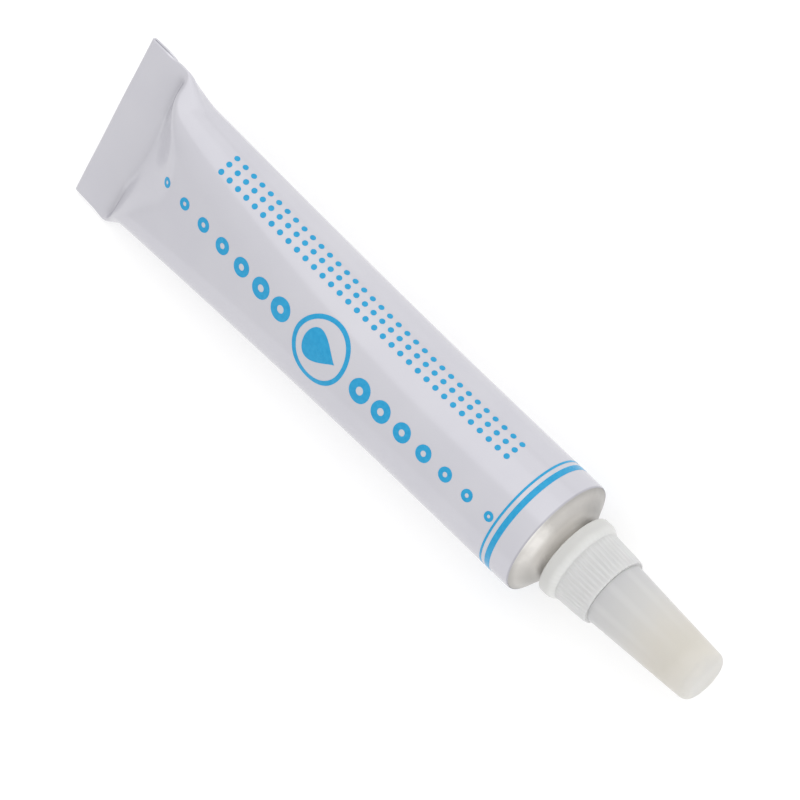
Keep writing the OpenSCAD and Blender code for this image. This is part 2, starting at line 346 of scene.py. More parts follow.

# %% [markdown]
# The shoulder is bare aluminium, pressed and then turned on a lathe. Its colour carries a painted sheen
# that follows the angle about the tube's axis, bright on one side, with a grain that breaks the sectors
# up. Towards the neck painted light lightens it, and painted shade darkens it at the rim and, next to the
# flange, at the sides. The fine grooves of the lathe are rings in the relief, with a few small dents.

# %% Bare aluminium
bare_metal = Finish("bare_aluminium", {"Metallic": 0.5})
from_axis, _, sideways, upwards = bare_metal.about_axis()
squares = [bare_metal.calc("POWER", part, 2.0) for part in (sideways, upwards)]
radius = bare_metal.calc("SQRT", bare_metal.calc("ADD", *squares))
sector = bare_metal.calc("DIVIDE", sideways, radius)
to_side = bare_metal.calc("ABSOLUTE", sector)
uneven = bare_metal.calc("MULTIPLY_ADD", bare_metal.grain(1.6, 4.0), 0.5, sector)
# Painted sheen: a bright sector on one side of the cone and darker ones beside it
sector_stops = (
    (0.16, srgb(201, 198, 194)), (0.32, srgb(226, 223, 219)),
    (0.44, srgb(229, 226, 222)), (0.58, srgb(196, 193, 189)),
)
spread = bare_metal.between(uneven, 0.0, 1.0, -0.75, 1.25)
painted_sheen = bare_metal.shades(spread, srgb(186, 183, 179), srgb(178, 175, 172), 0.0, 1.0, sector_stops)
off_neck = bare_metal.past(radius, 4.4, 5.9)
# Painted light near the neck, on top, against the shade under the flange
painted_foot_light = bare_metal.shades(off_neck, srgb(240, 236, 231), srgb(188, 184, 179), 0.0, 1.0)
on_top = bare_metal.between(to_side, 1.0, 0.0, 0.5, 1.0)
at_foot = bare_metal.times(on_top, bare_metal.past(radius, 5.6, 6.4, 1.0, 0.0))
# Painted shade at the rim and, at the sides, next to the flange
at_rim = bare_metal.past(radius, 7.2, 7.8)
beside_foot = bare_metal.times(bare_metal.past(radius, 5.8, 7.0, 1.0, 0.0), bare_metal.past(radius, 5.0, 5.5))
at_side = bare_metal.times(bare_metal.between(to_side, 0.0, 0.8, 0.7, 0.9), beside_foot)
metal_shade_mask = bare_metal.calc("MAXIMUM", at_rim, at_side)
metal_painted_shade = (0.8, 0.8, 0.8)
cone = bare_metal.mixed(metal_shade_mask, bare_metal.mixed(at_foot, painted_sheen, painted_foot_light), metal_painted_shade, blend_type="MULTIPLY")
lathe_marks = bare_metal.node("ShaderNodeTexWave", wave_type="RINGS", rings_direction="X", vector=from_axis,
                              scale=1400.0, distortion=1.5, detail=2.0).outputs["Fac"]
dents = bare_metal.between(bare_metal.grain(0.9, 0.0), 0.0, 1.0, 0.7, 0.85)
bare_metal.surface(
    cone,
    bare_metal.between(bare_metal.grain(0.8, 3.0), 0.38, 0.46),
    (lathe_marks, 0.0015),
    (dents, -0.012),
    (bare_metal.grain(0.12), 0.001),
)
print("finish:", bare_metal.material.name)

# %% [markdown]
# Four finishes belong to what is inside: the clear cement, the latex of the seal, drawn steel, and the
# amber resin that holds the wire. Each needs only a noise for its colour and one for its gloss. The steel's
# noise is stretched along the tube, because drawing leaves lengthwise lines.

# %% Cement, latex, steel and resin
cement_clear = Finish("cement", {"IOR": 1.47, "Subsurface Weight": 0.3, "Subsurface Scale": 0.002})
cement_clear.surface(
    cement_clear.shades(cement_clear.grain(4.0), (0.82, 0.76, 0.6), (0.88, 0.83, 0.7)),
    cement_clear.between(cement_clear.grain(2.0), 0.12, 0.2),
)

latex = Finish("latex", {"IOR": 1.5})
latex.surface(
    latex.shades(latex.grain(0.8), (0.66, 0.54, 0.34), (0.72, 0.62, 0.42)),
    latex.between(latex.grain(0.4), 0.6, 0.75),
    (latex.grain(0.25), 0.01),
)

steel = Finish("drawn_steel", {"Metallic": 1.0})
steel.surface(
    steel.shades(steel.grain(0.5), (0.55, 0.55, 0.56), (0.64, 0.64, 0.65)),
    steel.between(steel.grain(0.1, 2.0, (0.05, 1, 1)), 0.16, 0.3),
    (steel.grain(0.05, 2.0, (0.03, 1, 1)), 0.001),
)

amber = Finish("amber_resin", {"IOR": 1.52, "Subsurface Weight": 0.4, "Subsurface Scale": 0.001})
amber.surface(
    amber.shades(amber.grain(0.8), srgb(228, 212, 178), srgb(236, 222, 192)),
    amber.between(amber.grain(0.5), 0.2, 0.32),
)
print("finishes:", [finish.material.name for finish in (cement_clear, latex, steel, amber)])

# %% [markdown]
# The nozzle is white moulded plastic, and light enters it, so it has subsurface scattering. Painted shade
# makes its flange a little greyer than its collar. The grip ribs are real shapes, but soft light hardly
# shows them, so the finish also paints shade into the grooves between them: a cosine of the angle about
# the axis has one wave for each rib.

# %% White plastic
rib_count = 48
light_inside = {"Subsurface Scale": 0.0012, "Subsurface Radius": (1.0, 1.0, 0.95)}
white_plastic = Finish("white_plastic", {
    "IOR": 1.5, "Specular IOR Level": 0.2, "Subsurface Weight": 0.6, **light_inside,
})
_, station, sideways, upwards = white_plastic.about_axis()
drift = white_plastic.calc("MULTIPLY_ADD", white_plastic.grain(3.0), 1.2 * MM, station)
past_flange = white_plastic.past(drift, x_flange + 1.6, x_flange + 3.2)
# Painted shade: the flange a little greyer than the collar
moulded_and_shaded = white_plastic.shades(past_flange, srgb(200, 200, 198), srgb(221, 221, 220), 0.0, 1.0)
around_collar = white_plastic.calc("ARCTAN2", sideways, upwards)
# Painted shade in the grooves between the ribs
crest = white_plastic.calc("COSINE", white_plastic.times(around_collar, rib_count))
groove = white_plastic.times(white_plastic.between(crest, 1.0, 0.0, -1.0, 1.0), past_flange)
groove_painted_shade = (0.95, 0.95, 0.95)
white_plastic.surface(
    white_plastic.mixed(groove, moulded_and_shaded, groove_painted_shade, blend_type="MULTIPLY"),
    white_plastic.between(white_plastic.grain(0.6), 0.38, 0.5),
    (white_plastic.grain(0.3), 0.0012),
)
print("finish:", white_plastic.material.name)

# %% [markdown]
# The cap is frosted plastic. A little light goes through it and more scatters inside, and it takes a
# yellowish tint from the resin plug near its tip. The tint is a row of colours along the cap, with clouds
# that blur it. Painted highlights run as faint streaks along the first half, and painted light makes the
# mouth a touch lighter.

# %% Frosted plastic
frosted = Finish("frosted_plastic", {
    "IOR": 1.5, "Specular IOR Level": 0.2, "Transmission Weight": 0.2, "Subsurface Weight": 0.4,
    **light_inside,
})
_, station, sideways, upwards = frosted.about_axis()
cloud_reach = 2.5
cloud = frosted.calc("MULTIPLY_ADD", frosted.grain(3.0), cloud_reach * MM, station)
tint_stops = (
    (0.34, srgb(213, 212, 210)), (0.51, srgb(217, 214, 208)), (0.61, srgb(217, 213, 205)),
    (0.71, srgb(217, 213, 204)), (0.8, srgb(222, 218, 210)), (0.87, srgb(222, 219, 212)),
)
along_cap = frosted.past(cloud, x_cap, x_tip + cloud_reach)
tinted = frosted.shades(along_cap, srgb(205, 205, 206), srgb(214, 212, 208), 0.09, 0.94, tint_stops)
# Painted highlights: faint streaks along the first half of the cap
streak_count, streak_turn = 9, math.radians(5)
phase = frosted.calc("SUBTRACT", frosted.calc("ARCTAN2", sideways, upwards), streak_turn)
wave = frosted.calc("COSINE", frosted.times(phase, streak_count))
fading = frosted.past(station, x_cap + 3, x_cap + 12, 0.17, 0.0)
painted_streak = frosted.times(frosted.between(wave, 0.0, 1.0, 0.2, 1.0), fading)
# Painted light: the mouth a touch lighter
mouth = frosted.past(station, x_cap, x_cap + 0.6, 0.3, 0.0)
painted_light_tint = (0.86, 0.86, 0.85)
frosted.surface(
    frosted.mixed(frosted.calc("ADD", painted_streak, mouth), tinted, painted_light_tint),
    frosted.between(frosted.grain(0.5), 0.36, 0.44),
    (frosted.grain(0.6, 1.0), 0.0015),
)
print("finish:", frosted.material.name)

# %% [markdown]
# The barrel is one piece of thin wall, and thin wall bends but hardly stretches. So every section of it has
# the same girth: a full circle at the rim, and two half circles joined by flats towards the fold. One
# function gives the wall at any distance from the fold and any way around, and the enamel, the metal, the
# cement and the print are all made from it, which keeps them exactly on top of each other.
# The wall doesn't close evenly at the fold. In the middle of the front it comes down in a long soft slope,
# and towards the raised edge and the lower edge it stays up longer and drops steeply, which leaves two
# ears.

# %% How the wall closes
quarter_girth = math.pi / 2 * barrel_r
# Length, share of the depth and power of the long taper
taper_len, taper_loss, taper_power = 53.0, 0.55, 1.7
# Length and power of the last closing stretch: in the front's middle, at its two sides and at the edges
front_closing, upper_closing, lower_closing, edge_closing = (8.0, 1.3), (2.6, 0.7), (2.0, 0.75), (5.6, 1.7)
# Softness of the crease: in the front's middle, at its sides and at the edges
middle_crease, front_crease, edge_crease = 0.9, 0.22, 0.05
# How far the crease moves off the fold at the sides of the front
upper_delay, lower_delay = 0.55, 0.3
# How much nearer to the fold the upper back wall and the lower ear stay open
upper_back, lower_ear = 0.6, 1.1
# Where the front, the ear and the back wall begin or end, as the sine of the way around
front_reach, ear_back, back_start, back_end, back_fade = 0.35, 0.12, 0.15, 0.8, 0.4
# Half the thickness of one pressed layer
layer_half = 0.105
# The hollow that the press leaves in the front next to the fold
sag_len, sag_share, sag_power, sag_width, sag_centre = 8.0, 0.45, 1.6, 5.0, 2.2


def smooth(value):
    """Soft step from 0 to 1."""
    value = np.clip(value, 0, 1)
    return value * value * (3 - 2 * value)


def bell(offset, width):
    """Soft bump: 1 in its middle, and close to 0 at twice its width."""
    return np.exp(-(offset / width) ** 2)


def half_depth(q, around):
    """Half the tube's depth at distance q from the fold; past the fold it is one pressed layer."""
    facing = np.sin(around * math.pi / 2)
    front = smooth(facing / front_reach)
    ear = smooth(1 - np.where(facing > 0, facing / front_reach, -facing / ear_back))
    back = smooth(-facing / back_start) * smooth((back_end + facing) / back_fade)
    upper, lower = (np.maximum(side * np.cos(around * math.pi / 2), 0) ** 2 for side in (1, -1))
    closings = zip(front_closing, upper_closing, lower_closing, edge_closing)
    closing_len, closing_power = (
        at_edge + front * (at_front + (at_upper - at_front) * upper + (at_lower - at_front) * lower - at_edge)
        for at_front, at_upper, at_lower, at_edge in closings)
    crease = edge_crease + (front_crease - edge_crease) * front
    crease = crease + (middle_crease - front_crease) * front * np.maximum(facing, 0) ** 3
    delay = (upper_delay * upper + lower_delay * lower) * front
    q = q + upper_back * upper * back + lower_ear * lower * ear - delay
    q = np.where(q < crease, crease * (np.maximum(q + 3 * crease, 0) / (4 * crease)) ** 4, q)
    taper = 1 - taper_loss * np.clip(1 - q / taper_len, 0, 1) ** taper_power
    closing = (1 - np.clip(1 - q / closing_len, 0, 1) ** 2) ** closing_power
    pressed = layer_half / barrel_r
    return barrel_r * np.sqrt(pressed ** 2 + (taper * closing) ** 2 * (1 - pressed ** 2))


print(f"quarter girth {quarter_girth:.2f} mm, half depth 10 mm from the fold {half_depth(10.0, 1.0):.2f} mm")


# %% The wall's section
def section(q, around, lift):
    """Place of the wall in its section.

    around counts quarters from the raised edge: 1 is the front's middle, 3 the back's.
    """
    r = half_depth(q, around)
    flat = quarter_girth - math.pi / 2 * r
    quarter = np.floor(around).astype(int) % 4
    part = around - np.floor(around)
    from_edge = np.where(quarter % 2 == 0, part, 1 - part) * quarter_girth
    angle = np.minimum(from_edge / r, math.pi / 2)
    across = flat - np.maximum(from_edge - r * math.pi / 2, 0) + (r + lift) * np.cos(angle)
    depth = (r + lift) * np.sin(angle)
    across = across * np.where((quarter == 0) | (quarter == 3), 1, -1)
    sag = sag_share * np.clip(1 - q / sag_len, 0, 1) ** sag_power * bell(across - sag_centre, sag_width)
    depth = np.where(depth > layer_half, layer_half + (depth - layer_half) * (1 - sag), depth)
    return across, depth * np.where(quarter < 2, 1, -1)


# %% [markdown]
# Past the fold the flattened tube is bent over to the back and tucked in once more, so the band is three
# layers thick. The middle line of the tube is carried along that bend: straight, round the end, back, round
# again, in. The foil is folded by a machine but handled by people, so the band leans and narrows a little,
# the layers don't lie exactly on each other, and its face has slow waves.

# %% The fold as a path
first_layer, layer_step, rise_len = 0.18, 0.22, 1.2
end_turn = layer_step
tuck_turn = layer_step / 2
front_run = band_len - end_turn
back_run = front_run - end_turn - tuck_turn
tuck_run = back_run - 0.25
back_layer = front_run + math.pi * end_turn
tuck_start = back_layer + back_run
inner_layer = tuck_start + math.pi * tuck_turn
fold_total = inner_layer + tuck_run


def centre_line(q):
    """Station, height and normal of the tube's middle line at distance q from the fold, below 0 in it."""
    way = -q
    end_angle = np.clip((way - front_run) / end_turn, 0, math.pi)
    tuck_angle = np.clip((way - tuck_start) / tuck_turn, 0, math.pi)
    x = x_fold - np.clip(way, None, front_run) - end_turn * np.sin(end_angle)
    x = x + np.clip(way - back_layer, 0, back_run) + tuck_turn * np.sin(tuck_angle)
    x = x - np.clip(way - inner_layer, 0, None)
    rise = first_layer * (1 - smooth(q / rise_len))
    v = rise - end_turn * (1 - np.cos(end_angle)) + tuck_turn * (1 - np.cos(tuck_angle))
    turned_twice = tuck_angle > 0
    normal_x = np.where(turned_twice, np.sin(tuck_angle), -np.sin(end_angle))
    normal_v = np.where(turned_twice, -np.cos(tuck_angle), np.cos(end_angle))
    return x, v, normal_x, normal_v


print(f"the folded foil is {fold_total:.2f} mm long in a band of {band_len:.1f} mm")

# %% The wall as a function
band_lean, band_narrowing = 0.17, 0.006
layer_shift, tuck_inset = 0.05, 0.015
flare_share, flare_len, flare_back = 0.015, 1.4, 0.6
tuck_share, tuck_len = 0.07, 3.0
# Height, length and start of each slow wave in the band's face
band_waves = ((0.05, 4.3, 0.7), (0.03, 1.9, 0.2))


def place(x, across, up):
    """Point of the object from a station and a place in the rolled section."""
    x, across, up = np.broadcast_arrays(x, across, up)
    y = axis_y + across * math.cos(roll) - up * math.sin(roll)
    z = axis_z + across * math.sin(roll) + up * math.cos(roll)
    return np.stack([x, y, z], axis=-1)


def wall(q, around, lift=0.0):
    """Points of the wall, lifted off the bare metal."""
    across, depth = section(q, around, lift)
    x, v, normal_x, normal_v = centre_line(q)
    x = x + depth * normal_x
    v = v + depth * normal_v
    in_band = np.clip((x_fold - x) / band_len, 0, 1)
    behind = smooth((-q - front_run) / (math.pi * end_turn))
    across = across * (1 - tuck_share * behind * smooth((x - x_fold + tuck_len) / tuck_len))
    across = across * (1 - tuck_inset * smooth((-q - tuck_start) / (math.pi * tuck_turn)))
    across = across * (1 - band_narrowing * in_band) + band_lean * in_band
    across = across + layer_shift * behind * np.sin(math.pi * in_band)
    across = across * (1 + flare_share * bell(x - x_fold + flare_back, flare_len))
    v = v + in_band * sum(height * np.sin(across / length + start) for height, length, start in band_waves)
    return place(x, across, v)


def circle(x, r, around):
    """Ring of the round end of the tube."""
    return place(x, r * np.cos(around * math.pi / 2), r * np.sin(around * math.pi / 2))


fold_corner = wall(-front_run, 0.0, enamel)
print("raised corner of the fold, in mm:", np.round(fold_corner, 2))


# %% [markdown]
# The points around the wall are crowded at the two edges, where the fold is tightest, and the rings are
# crowded towards the fold, where the shape changes fastest. The rim is an arc that runs into the
# shoulder's cone.

# %% Where the rings and points lie
edge_crowding, fold_crowding = 1.7, 1.9
straight_len = barrel_len - rim_r
near_crease = 1.6
neck_r = 3.6
shoulder_angle = math.atan2(barrel_r - neck_r, x_neck - x_rim)
rim_x = x_rim - math.tan(shoulder_angle / 2) * rim_r


def points_around(per_quarter):
    step = np.arange(per_quarter) / per_quarter
    leaving, nearing = step ** edge_crowding, (1 - step) ** edge_crowding
    return np.concatenate([leaving, 2 - nearing, 2 + leaving, 4 - nearing])


def barrel_stations(start, end, count):
    return start + (end - start) * np.linspace(0, 1, count) ** fold_crowding


def wall_rings(stations, around, lift):
    return [wall(q, around, lift) for q in stations]


def rim_rings(angles, around, lift=0.0):
    """Rings of the rounded rim; the angles count from the barrel towards the shoulder."""
    r = rim_r + lift
    return [circle(rim_x + r * math.sin(a), barrel_r - rim_r + r * math.cos(a), around) for a in angles]


around_fine = points_around(52)
around_coarse = points_around(26)
fold_stops = [fold_total, inner_layer, tuck_start, back_layer, front_run, near_crease, 0]
fold_rings = [8, 10, 12, 14, 12, 26]
fold_stations = -np.concatenate([
    np.linspace(start, end, rings, endpoint=False)
    for start, end, rings in zip(fold_stops, fold_stops[1:], fold_rings)])
print(f"{len(around_fine)} points around, {len(fold_stations)} rings in the fold")

# %% [markdown]
# The enamel is sprayed on the finished tube and stops at the rim, on the edge of the shoulder. It covers
# the outside of the fold, and its inner side lies close over the metal, so that no gap shows at its edge.

# %% Enamel skin
lip_turn = math.radians(34)
bond, under_wall = 0.01, -0.02
inner_start, swept_end = 1.0, straight_len - 0.6
round_start, lip_run_in = x_fold + straight_len - 0.5, 0.3
outer = wall_rings(fold_stations, around_fine, enamel)
outer += wall_rings(barrel_stations(0, swept_end, 150), around_fine, enamel)
outer += [circle(x, barrel_r + enamel, around_fine) for x in (round_start, rim_x - lip_run_in, rim_x)]
outer += rim_rings(np.linspace(0, lip_turn, 9)[1:], around_fine, enamel)
inner = rim_rings(np.linspace(lip_turn, 0, 6), around_fine, bond)
inner += wall_rings(barrel_stations(inner_start, swept_end, 40)[::-1], around_fine, under_wall)
enamel_skin = loft("enamel_skin", outer + inner, enamel_white)

# %% [markdown]
# Painted shade darkens the enamel in the crease beside the fold, most of all at the ears. The enamel is
# also darker in a fine grey line at the rim, and a small painted highlight lightens the raised corner of
# the band. A painter would mask these places, and here each is a soft step or bump along or across the
# tube. Their sum is kept on the points of the skin, in the attribute that the finish reads.

# %% Painted shade and highlight on the enamel
crease_shade, middle_shade, rim_shade = 0.55, 0.35, 0.85
# The foot of the slope, where the crease shows, lies further out in the front's middle
foot_shift, foot_middle, foot_width = 1.1, 0.5, 6.5
crease_back, crease_width = 0.2, 0.7
# Where each ear begins across the tube, over what width it grows, and where the crease ends
lower_from, lower_grow, upper_from, upper_grow, crease_reach = 5.0, 3.0, 4.0, 2.5, 12.0
delay_grow = 10.0
rim_line_start, rim_line_grow = 0.12, 0.1
glint_across, glint_grow, glint_back, glint_len = 12.4, 0.2, 2.7, 0.6
skin = np.array([vertex.co[:] for vertex in enamel_skin.data.vertices]) / MM
off_fold = skin[:, 0] - x_fold
side_y, side_z = skin[:, 1] - axis_y, skin[:, 2] - axis_z
across = side_y * math.cos(roll) + side_z * math.sin(roll)
on_front = side_z * math.cos(roll) - side_y * math.sin(roll) > 0
# Painted shade in the crease beside the fold, strongest at the ears
at_ears = smooth((-across - lower_from) / lower_grow) + smooth((across - upper_from) / upper_grow)
inside_edge = smooth(crease_reach - np.abs(across))
foot_line = upper_delay * smooth(across / delay_grow) + lower_delay * smooth(-across / delay_grow)
foot_line = foot_line + foot_shift * bell(across - foot_middle, foot_width)
creased = on_front * np.maximum(at_ears, middle_shade) * inside_edge
creased = creased * bell(off_fold - foot_line + crease_back, crease_width)
rim_line = smooth((skin[:, 0] - rim_x - rim_line_start) / rim_line_grow)
# Painted highlight on the raised corner of the band
painted_glint = smooth((across - glint_across) / glint_grow) * bell(off_fold + glint_back, glint_len)
shade = enamel_skin.data.attributes.new("shade", "FLOAT", "POINT")
shade.data.foreach_set("value", np.maximum(crease_shade * creased, rim_shade * rim_line) - painted_glint)
dress(enamel_skin, "tube", "enamel_coat")

# %% [markdown]
# Under the enamel the aluminium runs on over the rim into a shallow cone and the neck. The cone is dished a
# little, as a pressed shoulder is, and meets the neck in a small fillet. The loft goes on round the neck's
# mouth and back along the inside, so the wall has its real thickness.

# %% Aluminium body
bore_r, wall_t, dish = 2.5, 0.15, 0.12
under_enamel = -0.04
neck_fillet, metal_run_in = 0.2, 0.5
outside_start, outside_end = 0.9, straight_len - 0.7
inside_start, inside_end = 1.2, straight_len - 0.9
inwards = np.array((math.sin(shoulder_angle), math.cos(shoulder_angle)))
cone_start = np.array((rim_x, barrel_r - rim_r)) + rim_r * inwards
cone_end = np.array((x_neck - neck_fillet, neck_r + neck_fillet * math.tan(shoulder_angle)))
metal = wall_rings(barrel_stations(outside_start, outside_end, 60), around_coarse, under_enamel)
metal += [circle(x, barrel_r + under_enamel, around_coarse) for x in (round_start, rim_x - metal_run_in)]
metal += rim_rings(np.linspace(0, shoulder_angle, 10), around_coarse)
for share in np.linspace(0, 1, 14)[1:]:
    x, r = cone_start + (cone_end - cone_start) * share - dish * math.sin(math.pi * share) * inwards
    metal.append(circle(x, r, around_coarse))
neck_profile = [(x_neck + 0.1, neck_r + 0.06), (x_neck + 0.25, neck_r), (neck_end - 0.3, neck_r)]
neck_profile += [(neck_end - 0.05, neck_r - 0.2), (neck_end, neck_r - 0.3), (neck_end, bore_r + 0.1)]
neck_profile += [(neck_end - 0.1, bore_r), (x_neck - 0.5, bore_r), (x_rim - 0.9, barrel_r - wall_t - 0.1)]
metal += [circle(x, r, around_coarse) for x, r in neck_profile]
metal += wall_rings(barrel_stations(inside_start, inside_end, 40)[::-1], around_coarse, -wall_t)
dress(loft("aluminium_body", metal, bare_metal), "tube", "tube_shell")

# %% [markdown]
# Inside lie the latex strip that seals the flattened end and the cement. They don't show, but a reader who
# takes the tube apart finds them in their places. Both follow the wall's own function, a little inside it.

# %% Seal and cement
seal_start, seal_end, seal_gap = 1.3, 3.2, 0.06
cement_start, cement_gap, cement_neck_r, cement_short = 3.5, 0.3, 2.2, 0.8
seal_rings = wall_rings(np.linspace(seal_start, seal_end, 8), around_coarse, -wall_t - seal_gap)
dress(loft("latex_seal", seal_rings, latex), "tube", "end_seal")
cement_stations = barrel_stations(cement_start, straight_len - cement_short, 40)
cement_rings = wall_rings(cement_stations, around_coarse, -wall_t - cement_gap)
cement_rings += [circle(x, cement_neck_r, around_coarse) for x in (x_neck - cement_short, neck_end)]
dress(loft("cement_fill", cement_rings, cement_clear), "tube", "glue_fill")

# %% [markdown]
# What repeats is made with Geometry Nodes: the screw threads, the grip ribs and the marks of the print.
# Each tree has named inputs for its sizes and ends in Realize Instances and Set Material. The result is
# read back as a plain mesh, which is then laid on the tube's axis or wrapped onto its wall.

# %% Helpers for Geometry Nodes
class Tree:
    """A Geometry Nodes tree with named inputs."""

    def __init__(self, name, **inputs):
        self.group = bpy.data.node_groups.new(name, "GeometryNodeTree")
        self.identifiers = {}
        for label, kind in inputs.items():
            socket = self.group.interface.new_socket(
                label.replace("_", " "), in_out="INPUT", socket_type="NodeSocket" + kind)
            self.identifiers[label] = socket.identifier
        self.group.interface.new_socket("Geometry", in_out="OUTPUT", socket_type="NodeSocketGeometry")
        self.inputs = self.group.nodes.new("NodeGroupInput").outputs

    def node(self, kind, settings=None, **links):
        """First output of a new node, from its properties and its inputs by name or, as _0, by place."""
        made = self.group.nodes.new(kind)
        for key, value in (settings or {}).items():
            setattr(made, key, value)
        for key, value in links.items():
            target = made.inputs[int(key[1:])] if key[0] == "_" else made.inputs[key.replace("_", " ")]
            feed(self.group, value, target)
        return made.outputs[0]

    def math(self, operation, first, second=0.0):
        return self.node("ShaderNodeMath", {"operation": operation}, _0=first, _1=second)

    def times(self, first, second):
        return self.math("MULTIPLY", first, second)

    def vector(self, x=0.0, y=0.0, z=0.0):
        return self.node("ShaderNodeCombineXYZ", X=x, Y=y, Z=z)

    def close(self, geometry):
        """Ends the tree in Realize Instances and Set Material."""
        real = self.node("GeometryNodeRealizeInstances", Geometry=geometry)
        painted = self.node("GeometryNodeSetMaterial", Geometry=real, Material=self.inputs["Material"])
        self.group.links.new(painted, self.group.nodes.new("NodeGroupOutput").inputs[0])

    def mesh(self, name, finish, **values):
        """Plain mesh that the tree makes from these values of its inputs."""
        carrier = shown(name, bpy.data.meshes.new(name))
        modifier = carrier.modifiers.new(name, "NODES")
        modifier.node_group = self.group
        for label, value in {**values, "Material": finish.material}.items():
            modifier[self.identifiers[label]] = value
        mesh = bpy.data.meshes.new_from_object(carrier.evaluated_get(bpy.context.evaluated_depsgraph_get()))
        carrier.modifiers.remove(modifier)
        bpy.data.objects.remove(carrier)
        return mesh


def on_axis(station, turn=0.0):
    """Matrix that lays a shape made around Z, in millimetres, onto the tube's axis."""
    there = Matrix.Translation(Vector((station, axis_y, axis_z)) * MM)
    lay = there @ Matrix.Rotation(math.radians(90), 4, "Y")
    return lay @ Matrix.Rotation(turn, 4, "Z") @ Matrix.Scale(MM, 4)


# %% [markdown]
# A screw thread is a trapezoid swept along a helix. The same tree makes the neck's thread, which stands
# outwards, and the nozzle's, which stands inwards half a pitch away, so that the two run in each other when
# it unscrews. At both ends the trapezoid shrinks to nothing, as a thread runs out.

# %% Tree for screw threads
helix = Tree("screw_thread", Turns="Float", Pitch="Float", Root_radius="Float", Crest_radius="Float",
             Root_width="Float", Crest_width="Float", Material="Material")
given = helix.inputs
points_per_turn, run_out_rate = 72, 14.0
line = helix.node("GeometryNodeCurveSpiral", Resolution=points_per_turn, Rotations=given["Turns"],
                  Start_Radius=given["Root radius"], End_Radius=given["Root radius"],
                  Height=helix.times(given["Turns"], given["Pitch"]), Reverse=True)
line = helix.node("GeometryNodeSetCurveNormal", {"mode": "Z_UP"}, Curve=line)
height = helix.math("SUBTRACT", given["Crest radius"], given["Root radius"])
root_half = helix.times(given["Root width"], 0.5)
crest_half = helix.times(given["Crest width"], 0.5)
outline = helix.node("GeometryNodeCurvePrimitiveQuadrilateral", {"mode": "POINTS"},
                     Point_1=helix.vector(0.0, helix.times(root_half, -1.0)),
                     Point_2=helix.vector(height, helix.times(crest_half, -1.0)),
                     Point_3=helix.vector(height, crest_half),
                     Point_4=helix.vector(0.0, root_half))
along = helix.node("GeometryNodeSplineParameter")
to_end = helix.math("MINIMUM", along, helix.math("SUBTRACT", 1.0, along))
run_out = helix.math("MINIMUM", 1.0, helix.times(to_end, run_out_rate))
ridge = helix.node("GeometryNodeCurveToMesh", Curve=line, Profile_Curve=outline, Scale=run_out,
                   Fill_Caps=True)
helix.close(ridge)
print("inputs of a thread:", list(helix.identifiers))

# %% Screw threads
thread_pitch, thread_margin = 1.5, 0.86
thread_turns = (neck_len - 2 * thread_margin) / thread_pitch
thread_start = x_neck + thread_margin
mesh = helix.mesh("neck_thread", bare_metal, Turns=thread_turns, Pitch=thread_pitch,
                  Root_radius=neck_r - 0.05, Crest_radius=neck_r + 0.4, Root_width=0.75, Crest_width=0.3)
mesh.transform(on_axis(thread_start))
dress(shown("neck_thread", finished(mesh)), "tube")

# The nozzle's thread begins below the neck's, so it is set back by a part of a turn
ridge_turns, ridge_back = 2.75, -0.62
mesh = helix.mesh("nozzle_thread", white_plastic, Turns=ridge_turns, Pitch=thread_pitch,
                  Root_radius=neck_r + 0.62, Crest_radius=neck_r + 0.16, Root_width=0.9, Crest_width=0.56)
mesh.transform(on_axis(thread_start + (0.5 + ridge_back) * thread_pitch, ridge_back * 2 * math.pi))
dress(shown("nozzle_thread", finished(mesh)), "nozzle")

# %% [markdown]
# The nozzle is a turned profile: a plain flange with rounded edges and a short skirt, a collar that narrows
# slightly, a nose for the cap, and inside the room for the neck and a funnel to the needle.

# %% Nozzle
flange_r, flange_len, flange_edge, skirt = 5.6, 1.9, 0.35, 0.3
collar_r, collar_end_r, collar_len, collar_edge = 5.0, 4.75, 6.65, 0.15
nose_r, nose_len, nose_cone, nose_edge, nose_tip_r = 3.4, 2.6, 1.7, 0.2, 1.25
socket_r, socket_len, funnel = 4.2, 4.9, 1.45
needle_r, needle_play = 0.41, 0.02
mouth_bevel, mouth_bevel_len = 0.2, 0.25
flange_flat, flange_curve, root_fillet, root_rise = 0.75, 2.6, 0.2, 0.25
flange_drop, flange_slope = flange_r - collar_r - 0.1, flange_len - 0.7
tip_round, tip_round_r, tip_side = 0.15, 1.0, 0.1
nose_end = collar_len + nose_len + nose_cone
profile = [(socket_r, mouth_bevel_len), (socket_r + mouth_bevel, 0.0)]
profile += arc(flange_r - flange_edge, flange_edge - skirt, flange_edge, -90, 0)
for share in np.linspace(0, 1, 13):
    profile.append((flange_r - flange_drop * share ** flange_curve, flange_flat + flange_slope * share))
profile += arc(collar_r + root_fillet, flange_len + root_rise, root_fillet, -120, -180, 5)
profile += arc(collar_end_r - collar_edge, collar_len - collar_edge, collar_edge, 4, 90)
profile += arc(nose_r + nose_edge, collar_len + nose_edge, nose_edge, -90, -180, 4)
profile += arc(nose_r - nose_edge, collar_len + nose_len - nose_edge, nose_edge, 0, 40, 4)
profile += [(nose_tip_r, nose_end - tip_side)]
profile += arc(tip_round_r, nose_end - tip_round, tip_round, 60, 90, 3)
profile += [(needle_r + needle_play, nose_end), (needle_r + needle_play, socket_len + funnel)]
profile += [(bore_r, socket_len), (socket_r, socket_len)]
dress(turned("nozzle_body", profile, x_flange, white_plastic), "nozzle", "nozzle")

# %% [markdown]
# The grip ribs are one round bar, sunk into the collar and bent inwards at its end, copied round the
# collar. Copies made by nodes keep the count and the sizes in one place, where a reader can change them.

